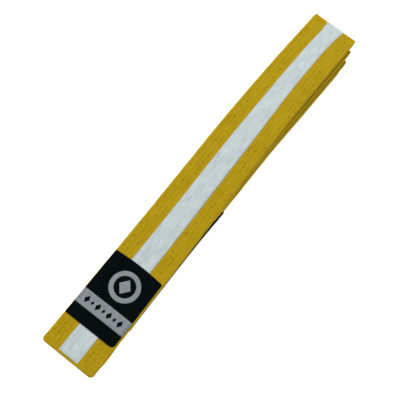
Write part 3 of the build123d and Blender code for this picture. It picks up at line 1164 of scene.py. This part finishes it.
@dataclass
class BeltLeaf:
    """One leaf of the belt: cover, ribbons and stitches between its folds."""

    line: LeafLine
    palette: Palette
    skip: tuple[float, float] | None = None
    both_faces_skip: bool = False

    @property
    def side(self) -> int:
        """1 if the upper face is the labelled face of the belt."""
        return 1 if self.line.runs_away else -1

    @property
    def body(self) -> str:
        """The body that the leaf is on."""
        return f"leaf_{self.line.number}"

    def places(self, low: float, high: float, step: float) -> Array:
        """Loop places from low to high, in step with the stitches, finer at a finished end."""
        grid = STRIP.stitch_period / 2
        start = low
        rows: list[float] = []
        at_end = low < END_ZONE
        if at_end:
            least = low + END_ROW_GAP
            rows = [x * MM for x in END_ROWS if x * MM > least or x == 0.0 and low == 0.0]
            if low > 0:
                rows = [low] + rows
            start = self.line.snapped(END_STOP + grid / 2)
        count = round((high - start) / step)
        beside = [high - STRIP.joint_row] + ([] if at_end else [low + STRIP.joint_row])
        return np.sort(np.array(rows + beside + np.linspace(start, high, count + 1).tolist()))

    @staticmethod
    def finished(y: Array, u: Array, n: Array) -> Pair:
        """Round the corners and thin the edge of a finished end."""
        corner = STRIP.end_corner
        back = np.clip(corner - y, 0, corner)
        width = STRIP.half_width - (corner - np.sqrt(corner**2 - back**2))
        knee = END_KNEE
        reach = (np.abs(u) - knee) * (width - knee) / (STRIP.half_width - knee)
        across = np.where(np.abs(u) > knee, np.sign(u) * (knee + reach), u)
        edge = np.clip((END_THIN - y) / END_THIN, 0, 1)
        thin = np.sqrt(np.clip(1 - edge**2, 0.04, 1))
        seam = 1 - END_SEAM * np.exp(-(((y - END_SEAM_AT) / END_SEAM_REACH) ** 2))
        return across, n * thin * seam

    def cover_points(self, y: Array) -> Pair:
        """The cover's loops at some places along the leaf, with their cloth coordinates."""
        s = self.line.belt_length(y)
        u, n = cover_section(s, self.side)
        along = np.broadcast_to(y[:, None], u.shape)
        n = n - np.sign(n) * np.minimum(pressed_in(self.line, along), np.abs(n))
        across, n = (u, n) if self.line.near_fold else self.finished(along, u, n)
        return self.line.place(along, across, n), cloth_places(u, s[:, None], n)

    def ribbon_points(self, y: Array, face: Face) -> Pair:
        """A ribbon's loops at some places along the leaf, with their cloth coordinates."""
        s = self.line.belt_length(y)
        u, n = ribbon_section(s, self.side, face)
        along = np.broadcast_to(y[:, None], u.shape)
        n = n - face.value * pressed_in(self.line, along)
        if not self.line.near_fold:
            tuck = np.clip((STRIP.ribbon_end_inset + 0.7 * MM - along) / (0.7 * MM), 0, 1)
            n = n - face.value * 0.32 * MM * tuck**2
        return self.line.place(along, u, n), cloth_places(u, s[:, None], n)

    def rows_of_stitches(
        self, name: str, rows: list[float], ribbon: bool, material: Material
    ) -> Piece:
        """Every stitch on some rows, on both faces.

        Args:
            name: The piece's name.
            rows: Distances across, with their sign.
            ribbon: True on the ribbons, False on the cover.
            material: The thread's finish.

        Returns:
            The stitches as one object.
        """
        mesh = ClothMesh(name)
        low, high = self.line.cuts()
        low = max(low, END_FIRST_STITCH)
        ends = sorted(float(self.line.belt_length(np.array(v))) for v in (low, high))
        run = StitchRun()
        for face in Face:
            for row in rows:
                starts = stitch_starts(ends[0], ends[1])
                sign = 1 if self.line.runs_away else -1
                where = np.array([self.y_of(s) for s in starts])
                keep = np.ones(len(where), bool)
                if self.skip and (face is Face.UPPER or self.both_faces_skip):
                    first = np.minimum(where, where + sign * run.period)
                    keep = (first + run.period < self.skip[0]) | (first > self.skip[1])
                path = row_path(row, face, self.side, ribbon, self.place)
                run.lay(mesh, starts[keep], path)
        return mesh.build(material)

    def place(self, s: Array, u: Array, n: Array) -> Array:
        """Points of the cloth at positions along the whole belt, pressed in under the bar."""
        y = self.y_of(s)
        return self.line.place(y, u, n - np.sign(n) * pressed_in(self.line, y))

    def y_of(self, s: Array) -> Array:
        """Distance from the near end for a position along the belt."""
        start, stop = self.line.flat_span()
        step = s - self.line.belt_start
        return start + step if self.line.runs_away else stop - step

    def build(self) -> list[Piece]:
        """Make every piece of the leaf and dress it."""
        number = self.line.number
        low, high = self.line.cuts()
        step = STRIP.stitch_period / (4 if number == 1 else 2)
        y = self.places(low, high, step)
        palette = self.palette
        cover = make_tube(f"belt_{number}_cover", *self.cover_points(y), palette.cover)
        ribbons = []
        start = STRIP.ribbon_end_inset if not self.line.near_fold else low
        rows = self.places(start, high, step)
        for face in Face:
            label = face.name.lower()
            ribbon = make_tube(
                f"belt_{number}_ribbon_{label}", *self.ribbon_points(rows, face), palette.ribbon
            )
            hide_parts(f"leaf_{number}_ribbon_{label}")
            ribbons.append(ribbon)
        threads = self.rows_of_stitches(
            f"belt_{number}_quilting", STRIP.rows, False, palette.yellow_thread
        )
        seams = self.rows_of_stitches(
            f"belt_{number}_ribbon_seams", STRIP.ribbon_rows, True, palette.white_thread
        )
        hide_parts(f"leaf_{number}_cover", f"leaf_{number}_core_plies")
        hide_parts(f"leaf_{number}_quilting_thread")
        made = [cover, *ribbons, threads, seams]
        for piece in made:
            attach(piece, self.body)
        return made


@dataclass
class BeltFold:
    """The turn between two leaves, with a short flat lap on each."""

    upper: BeltLeaf
    lower: BeltLeaf
    palette: Palette

    def __post_init__(self) -> None:
        """Work out how long the turn is and where it starts."""
        first, second = self.upper.line, self.lower.line
        self.end = End.FAR if first.runs_away else End.NEAR
        side = 1 if self.end is End.FAR else 0
        self.outward = 1.0 if self.end is End.FAR else -1.0
        self.laps = [
            abs(line.flat_span()[side] - line.cuts()[side]) for line in (first, second)
        ]
        self.quarter = math.pi / 2 * STRIP.half_pitch
        self.start = float(first.belt_length(np.array(first.cuts()[side])))
        self.middle = self.start + self.laps[0] + self.quarter
        self.stop = self.middle + self.quarter + self.laps[1]

    def place(self, s: Array, u: Array, n: Array) -> Array:
        """Points of the cloth round the turn.

        Args:
            s: Position along the whole belt.
            u: Distance across.
            n: Height over the middle of the belt, on the upper leaf's own upper side.

        Returns:
            An array of points, one row each.
        """
        side = 1 if self.end is End.FAR else 0
        result = []
        for leaf, sign in ((self.upper, 1.0), (self.lower, -1.0)):
            line = leaf.line
            before = (self.middle - s) * sign  # distance still to go to the split plane
            angle = np.clip((self.quarter - before) / STRIP.half_pitch, 0, STRIP.turn_limit)
            flat_end = line.flat_span()[side]
            y = flat_end - self.outward * np.maximum(before - self.quarter, 0)
            flat = line.place(y, u, sign * n)
            turn = line.place_turn(self.end, angle, u, sign * n)
            result.append(np.where((before > self.quarter)[..., None], flat, turn))
        return np.where((s < self.middle)[..., None], result[0], result[1])

    def sections(self) -> Array:
        """Loop places along the belt, closer together in the turn."""
        edge = STRIP.turn_limit * STRIP.half_pitch
        turn = self.quarter
        step = STRIP.stitch_period / 4
        first = np.linspace(self.start, self.middle - turn, max(2, round(self.laps[0] / step)) + 1)
        second = np.linspace(self.middle + turn, self.stop, max(2, round(self.laps[1] / step)) + 1)
        bend = np.linspace(0, edge, 10)
        first = np.insert(first, 1, self.start + STRIP.joint_row)
        second = np.insert(second, -1, self.stop - STRIP.joint_row)
        return np.concatenate(
            [first, self.middle - turn + bend[1:], self.middle + turn - bend[:0:-1], second]
        )

    def tube(self, name: str, u: Array, n: Array, s: Array, material: Material) -> Piece:
        """One tube round the turn."""
        along = np.broadcast_to(s[:, None], u.shape)
        return make_tube(name, self.place(along, u, n), cloth_places(u, along, n), material)

    def stitches(self, name: str, rows: list[float], ribbon: bool, material: Material) -> Piece:
        """Every stitch on some rows, on both faces, that doesn't cross to the next leaf."""
        mesh = ClothMesh(name)
        run = StitchRun()
        first = stitch_starts(self.start, self.middle - 0.5 * MM)
        second = stitch_starts(self.middle + 0.5 * MM, self.stop)
        starts = np.concatenate([first, second])
        way = self.upper.line.far_fold if self.end is End.FAR else self.upper.line.near_fold
        clear_of_turn = np.abs(starts - self.middle) > self.quarter + STRIP.stitch_period
        for face in Face:
            kept = starts[clear_of_turn] if way * face.value > 0 else starts
            for row in rows:
                path = row_path(row, face, self.upper.side, ribbon, self.place)
                run.lay(mesh, kept, path)
        return mesh.build(material)

    def build(self) -> list[Piece]:
        """Make every piece of the fold and dress it."""
        first, second = self.upper.line.number, self.lower.line.number
        tag = f"fold_{first}_{second}"
        palette = self.palette
        s = self.sections()
        cover = self.tube(f"{tag}_cover", *cover_section(s, self.upper.side), s, palette.cover)
        made = [cover]
        for face in Face:
            name = f"{tag}_ribbon_{face.name.lower()}"
            ribbon = self.tube(name, *ribbon_section(s, self.upper.side, face), s, palette.ribbon)
            made.append(ribbon)
        threads = self.stitches(f"{tag}_quilting", STRIP.rows, False, palette.yellow_thread)
        seams = self.stitches(f"{tag}_ribbon_seams", STRIP.ribbon_rows, True, palette.white_thread)
        made += [threads, seams]
        low, high = self.blend_zone()
        for piece in made:
            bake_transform(piece)
            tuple(low)
            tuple(high)
        return made

    def blend_zone(self) -> tuple[Point, Point]:
        """The two points, just under and over the split plane at the fold's tip."""
        line = self.upper.line
        x, y = line.far if self.end is End.FAR else line.near
        z = line.height - STRIP.half_pitch
        gap = 0.1 * MM
        return (float(x), float(y), z - gap), (float(x), float(y), z + gap)


@dataclass
class WovenLabel:
    """The woven label near the free end, with a pale band and a plain ring-and-diamond figure."""

    line: LeafLine
    palette: Palette
    width: float = 37.9 * MM
    length: float = 50.0 * MM
    start: float = 21.4 * MM
    offset: float = -0.5 * MM
    thickness: float = 0.42 * MM
    band: tuple[float, float] = (30.3 * MM, 40.7 * MM)
    figure_middle: tuple[float, float] = (0.4 * MM, 55.6 * MM)
    ring: tuple[float, float] = (10.4 * MM, 7.2 * MM)
    diamond: tuple[float, float] = (4.5 * MM, 5.4 * MM)
    bow: float = 0.9 * MM
    corner: float = 3.0 * MM
    small_corner: float = 0.7 * MM
    bed: float = 1.62 * MM
    ribbon_reach: float = 9.4 * MM
    ribbon_slope: float = 3.0 * MM
    edge_from: float = 17.2 * MM
    edge_slope: float = 1.8 * MM
    proud: float = 0.05 * MM

    def top(self, u: Array, y: Array) -> Array:
        """Height of the label's face over the middle of the leaf."""
        over = smooth((self.ribbon_reach - np.abs(u)) / self.ribbon_slope)
        edge = smooth((np.abs(u - self.offset) - self.edge_from) / self.edge_slope)
        ends = np.minimum(y - self.start, self.start + self.length - y)
        rim = smooth((1.0 * MM - ends) / (1.0 * MM))
        over_edge = smooth((self.offset - u - 18.0 * MM) / (0.9 * MM))
        wave = 0.05 * MM * soft_noise(u, y, 71, 14 * MM) - 0.6 * MM * over_edge
        face = self.bed + self.thickness + 0.3 * MM * over
        return face - 0.32 * MM * edge - 0.16 * MM * rim + wave

    def half_at(self, y: Array, right: bool) -> Array:
        """Half of the label's width at a distance from the leaf's end, on one side."""
        half = self.width / 2
        near = self.corner if right else self.small_corner
        result = np.full_like(y, half)
        far_reach = self.start + self.length - y
        for reach, size in ((y - self.start, near), (far_reach, self.small_corner)):
            back = np.clip(size - reach, 0, size)
            result = np.minimum(result, half - (size - np.sqrt(size**2 - back**2)))
        return result + 0.07 * MM * soft_noise(y * 0, y, 83 if right else 82, 1.6 * MM)

    def cloth_piece(self) -> Piece:
        """The label's cloth."""
        rim = np.array([0, 0.1, 0.3, 0.6, 1.0, 1.5, 2.1, 2.8]) * MM
        inner = np.linspace(3.4 * MM, self.length - 3.4 * MM, 56)
        y = self.start + np.concatenate([rim, inner, self.length - rim[::-1]])
        share = np.concatenate(
            [[-1, -0.985, -0.96, -0.92], np.linspace(-0.87, 0.87, 31), [0.92, 0.96, 0.985, 1]]
        )
        left, right = self.half_at(y, False), self.half_at(y, True)
        u = self.offset + np.where(share < 0, share * left[:, None], share * right[:, None])
        part = np.clip((y[:, None] - self.start) / self.length, 0, 1)
        along = y[:, None] + self.bow * (1 - share**2) * part**2
        top = self.top(u, along)
        edge_drop = np.zeros(len(share))
        edge_drop[[0, -1]] = 0.5 * self.thickness
        return self.slab(
            "label_cloth", (u, along), top - edge_drop, top - self.thickness, self.palette.label
        )

    def slab(
        self, name: str, places: Pair, upper: Array, lower: Array, material: Material
    ) -> Piece:
        """Make a thin piece between two skins.

        Args:
            name: The piece's name.
            places: Across and along for every point, one row for each loop.
            upper: Heights of its upper skin.
            lower: Heights of its lower skin.
            material: Its finish.

        Returns:
            The piece.
        """
        back = slice(-2, 0, -1)
        u, y = (np.concatenate([part, part[:, back]], axis=1) for part in places)
        n = np.concatenate([upper, lower[:, back]], axis=1)
        return make_tube(name, self.line.place(y, u, n), cloth_places(u, y, n), material)

    def patch(
        self,
        mesh: ClothMesh,
        middle: tuple[float, float],
        outline: Array,
        inner: float,
        rise: float,
    ) -> None:
        """inner: Share of the outline where its open middle starts, or 0 for none.
            rise: How far it stands proud of the label.
        """
        least = inner if inner else 0.02
        shares = np.linspace(1.0, least, 8)
        count = len(outline)

        def loops(height: float, parts: Array) -> Pair:
            """Loops of the outline at some shares of its size."""
            spread = parts[:, None, None] * outline
            u, y = middle[0] + spread[..., 0], middle[1] + spread[..., 1]
            n = self.top(u, y) + height
            return self.line.place(y, u, n), cloth_places(u, y, n)

        upper, upper_cloth = loops(rise, shares[::-1])
        lower, lower_cloth = loops(-0.06 * MM, shares)
        first = mesh.add_points(
            np.concatenate([upper, lower]), np.concatenate([upper_cloth, lower_cloth])
        )
        total = 2 * len(shares)
        index = first + np.arange(total * count).reshape(total, count)
        if inner:
            index = np.concatenate([index, index[:1]])
        turned = np.roll(index, -1, axis=1)
        quads = np.stack([index[:-1], turned[:-1], turned[1:], index[1:]], axis=-1)
        mesh.faces += [tuple(q)[::-1] for q in quads.reshape(-1, 4).tolist()]
        if not inner:
            mesh.faces += [tuple(index[0].tolist()), tuple(index[-1].tolist())[::-1]]

    def figures(self) -> Piece:
        """The ring and the diamond in it, in one pale weave."""
        mesh = ClothMesh("label_figures")
        turn = np.linspace(0, math.tau, 72, endpoint=False)
        circle = self.ring[0] * np.stack([np.cos(turn), np.sin(turn)], axis=-1)
        self.patch(mesh, self.figure_middle, circle, self.ring[1] / self.ring[0], self.proud)
        corners = [(1, 0), (0, 1), (-1, 0), (0, -1)]
        self.patch(mesh, self.figure_middle, self.polygon(corners, self.diamond), 0.0, self.proud)
        return mesh.build(self.palette.figure)

    @staticmethod
    def polygon(
        corners: list[tuple[float, float]], size: tuple[float, float], steps: int = 8
    ) -> Array:
        """The outline of a polygon, with points along each side."""
        points = []
        for (ax, ay), (bx, by) in zip(corners, corners[1:] + corners[:1]):
            for k in range(steps):
                t = k / steps
                points.append(((ax + (bx - ax) * t) * size[0], (ay + (by - ay) * t) * size[1]))
        return np.array(points)

    def pale_band(self) -> Piece:
        """The pale band across the label."""
        y = np.linspace(*self.band, 14)
        reach = self.width / 2 + 0.02 * MM
        u = self.offset + np.linspace(-reach, reach, 45)
        across, along = np.meshgrid(u, y)
        top = self.top(across, along)
        return self.slab(
            "label_band",
            (across, along),
            top + self.proud,
            top - 2 * self.proud,
            self.palette.figure,
        )

    def lozenges(self) -> Piece:
        """A row of dark lozenges along the band."""
        mesh = ClothMesh("label_lozenges")
        middle = (self.band[0] + self.band[1]) / 2
        corners = [(1.0, 0.0), (0.25, 1.0), (-1.0, 0.0), (-0.25, -1.0)]
        for number in range(7):
            u = self.offset + (number - 3) * 4.3 * MM
            size = (1.75 * MM, 2.7 * MM) if number % 2 == 0 else (1.05 * MM, 1.6 * MM)
            self.patch(mesh, (u, middle), self.polygon(corners, size, 4), 0.0, 0.1 * MM)
        return mesh.build(self.palette.label)

    def stitches(self) -> Piece:
        """The seam that sews the label down, just inside its edges."""
        mesh = ClothMesh("label_seam")
        run = StitchRun(period=2.4 * MM, share=0.78, radius=0.16 * MM, rise=0.06 * MM)
        inset = 1.5 * MM
        half = self.width / 2 - inset
        low, high = self.start + inset, self.start + self.length - inset
        for side in (-1, 1):

            def down(distance: Array, beside: Array, rise: Array) -> Pair:
                """Points along one side of the label."""
                u = self.offset + side * half + beside
                n = self.top(u, distance) + 0.04 * MM + rise
                return self.line.place(distance, u, n), cloth_places(beside, distance, rise)

            run.sew(mesh, low, high, down)
        for y in (low, high):

            def over(distance: Array, beside: Array, rise: Array) -> Pair:
                """Points along one end of the label."""
                across = (distance - self.offset) / (self.width / 2)
                along = y - beside + (self.bow * (1 - across**2) if y > self.start + inset else 0.0)
                n = self.top(distance, along) + rise
                return self.line.place(along, distance, n), cloth_places(beside, distance, rise)

            run.sew(mesh, self.offset - half, self.offset + half, over)
        return mesh.build(self.palette.black_thread)

    def build(self) -> list[Piece]:
        """Make every piece of the label and dress it."""
        cloth = self.cloth_piece()
        figures, band = self.figures(), self.pale_band()
        lozenges, seam = self.lozenges(), self.stitches()
        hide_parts("label_patch")
        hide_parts("label_stitching")
        made = [cloth, figures, band, lozenges, seam]
        for piece in made:
            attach(piece, "leaf_1")
        return made


@dataclass
class RankBar:
    """The black sleeve sewn round the belt near its other end."""

    line: LeafLine
    palette: Palette

    def loop(self, wall: float) -> Pair:
        """The sleeve's loop, moved inward by part of its wall."""
        half, tall = BAR.half_width - wall, BAR.half_height - wall
        reach = half - BAR.edge_round
        flat = np.linspace(-reach, reach, BAR.flat_points)
        angle = np.linspace(math.pi / 2, -math.pi / 2, 9)[1:-1]
        right_u = reach + BAR.edge_round * np.cos(angle)
        right_n = tall * np.sin(angle)
        level = np.full(BAR.flat_points, tall)
        u = np.concatenate([flat, right_u, flat[::-1], -right_u[::-1]])
        n = np.concatenate([level, right_n, -level, right_n[::-1]])
        return u, n

    def sleeve(self) -> Piece:
        """The sleeve's cloth."""
        mesh = ClothMesh("rank_bar_cloth")
        rim = np.array([0, 0.15, 0.4]) * MM
        inner = np.linspace(0.9 * MM, BAR.length - 0.9 * MM, 90)
        y = BAR.start + np.concatenate([rim, inner, BAR.length - rim[::-1]])
        skins = []
        for wall in (0.0, BAR.wall):
            u, n = self.loop(wall)
            along, across, height = np.broadcast_arrays(y[:, None], u, n)
            points = self.line.place(along, across, height)
            skins.append((points, cloth_places(across, along, height)))
        way = outward_way(skins[0][0])
        mesh.add_sleeve(skins[0][0], skins[1][0], skins[0][1])
        return mesh.build(self.palette.bar, way)

    def seams(self) -> Piece:
        """Rows of stitches near both ends and along both edges."""
        mesh = ClothMesh("rank_bar_seams")
        run = StitchRun(period=3.0 * MM, share=0.8, radius=0.16 * MM, rise=0.04 * MM)
        half = BAR.half_width - BAR.stitch_inset
        low, high = BAR.start + BAR.stitch_inset, BAR.start + BAR.length - BAR.stitch_inset
        rows = [(False, at, 0.06 * MM, (-half, half)) for at in (low, high)]
        rows += [(True, at, 0.02 * MM, (low, high)) for at in (-half, half)]
        for face in Face:
            for lengthwise, at, sink, reach in rows:

                def path(distance: Array, beside: Array, rise: Array) -> Pair:
                    """Points along one edge or across one end of the sleeve."""
                    off = at + beside * face.value
                    u, y = (off, distance) if lengthwise else (distance, off)
                    n = face.value * (BAR.half_height - sink + rise)
                    return self.line.place(y, u, n), cloth_places(beside, distance, rise)

                run.sew(mesh, *reach, path)
        return mesh.build(self.palette.black_thread)

    def build(self) -> list[Piece]:
        """Make the sleeve and its seams and dress them."""
        sleeve, seams = self.sleeve(), self.seams()
        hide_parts("rank_bar_sleeve")
        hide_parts("rank_bar_stitching")
        for piece in (sleeve, seams):
            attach(piece, "leaf_8")
        return [sleeve, seams]


# ---- the studio ----


@dataclass
class Studio:
    """White floor, soft lights and the camera."""

    camera_at: Point = (34.62 * MM, -168.89 * MM, 414.08 * MM)
    camera_turn: Point = (19.108, -8.6562, 36.5952)
    lens: float = 54.27
    shift: float = 0.00125
    floor_size: float = 3.0
    floor_z: float = -0.35 * MM
    floor_glow: float = 0.6
    world_glow: float = 0.55

    def floor(self) -> None:
        """Lay the floor under the belt."""
        half = self.floor_size / 2
        z = self.floor_z
        mesh = bpy.data.meshes.new("floor")
        corners = [(-half, -half, z), (half, -half, z), (half, half, z), (-half, half, z)]
        mesh.from_pydata(corners, [], [(0, 1, 2, 3)])
        floor = bpy.data.objects.new("floor", mesh)
        bpy.context.scene.collection.objects.link(floor)
        material = bpy.data.materials.new("floor_white")
        material.use_nodes = True
        shader = material.node_tree.nodes["Principled BSDF"]
        shader.inputs["Base Color"].default_value = (0.9, 0.9, 0.9, 1)
        shader.inputs["Roughness"].default_value = 0.9
        shader.inputs["Specular IOR Level"].default_value = 0.1
        shader.inputs["Emission Color"].default_value = (1, 1, 1, 1)
        shader.inputs["Emission Strength"].default_value = self.floor_glow
        mesh.materials.append(material)

    def lamp(self, name: str, at: Point, size: float, power: float) -> None:
        """Add a square soft light that faces the belt."""
        light = bpy.data.lights.new(name, "AREA")
        light.shape = "SQUARE"
        light.size = size
        light.energy = power
        lamp = bpy.data.objects.new(name, light)
        bpy.context.scene.collection.objects.link(lamp)
        lamp.location = at
        way = -lamp.location
        lamp.rotation_euler = way.to_track_quat("-Z", "Y").to_euler()

    def build(self) -> None:
        """Make the studio."""
        self.floor()
        world = bpy.data.worlds.new("studio_white")
        bpy.context.scene.world = world
        world.use_nodes = True
        back = world.node_tree.nodes["Background"]
        back.inputs["Color"].default_value = (1, 1, 1, 1)
        back.inputs["Strength"].default_value = self.world_glow
        self.lamp("key_light", (-0.7, 0.9, 1.2), 0.9, 22.5)
        self.lamp("fill_light", (0.5, -1.2, 1.4), 1.4, 7.0)
        scene = bpy.context.scene
        scene.view_settings.view_transform = "Standard"
        scene.view_settings.look = "None"
        data = bpy.data.cameras.new("camera")
        data.lens = self.lens
        data.sensor_width = 36
        data.shift_x, data.shift_y = -self.shift, self.shift
        data.clip_start = 0.01
        camera = bpy.data.objects.new("camera", data)
        scene.collection.objects.link(camera)
        camera.location = self.camera_at
        camera.rotation_euler = [math.radians(v) for v in self.camera_turn]
        scene.camera = camera


def main() -> None:
    """Build the studio and every piece of the belt."""
    logging.basicConfig(level=logging.INFO, format="%(name)s: %(message)s")
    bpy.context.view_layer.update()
    Studio().build()
    palette = Palette()
    belt = FoldedBelt(frame["record"])
    label_zone = (20.4 * MM, 71.6 * MM)
    bar_zone = (BAR.start - 0.6 * MM, BAR.start + BAR.length + 0.6 * MM)
    leaves = []
    for line in belt.leaves:
        leaf = BeltLeaf(line, palette)
        if line.number == 1:
            leaf.skip = label_zone
        if line.number == len(belt.leaves):
            leaf.skip, leaf.both_faces_skip = bar_zone, True
        leaves.append(leaf)
    made: list[Piece] = []
    for leaf in reversed(leaves):
        made += leaf.build()
    for upper, lower in zip(leaves, leaves[1:]):
        made += BeltFold(upper, lower, palette).build()
    made += WovenLabel(belt.leaves[0], palette).build()
    made += RankBar(belt.leaves[-1], palette).build()
    for piece in made:
        LOG.info("%s: %d faces", piece.name, len(piece.data.polygons))


if __name__ == "__main__":
    main()
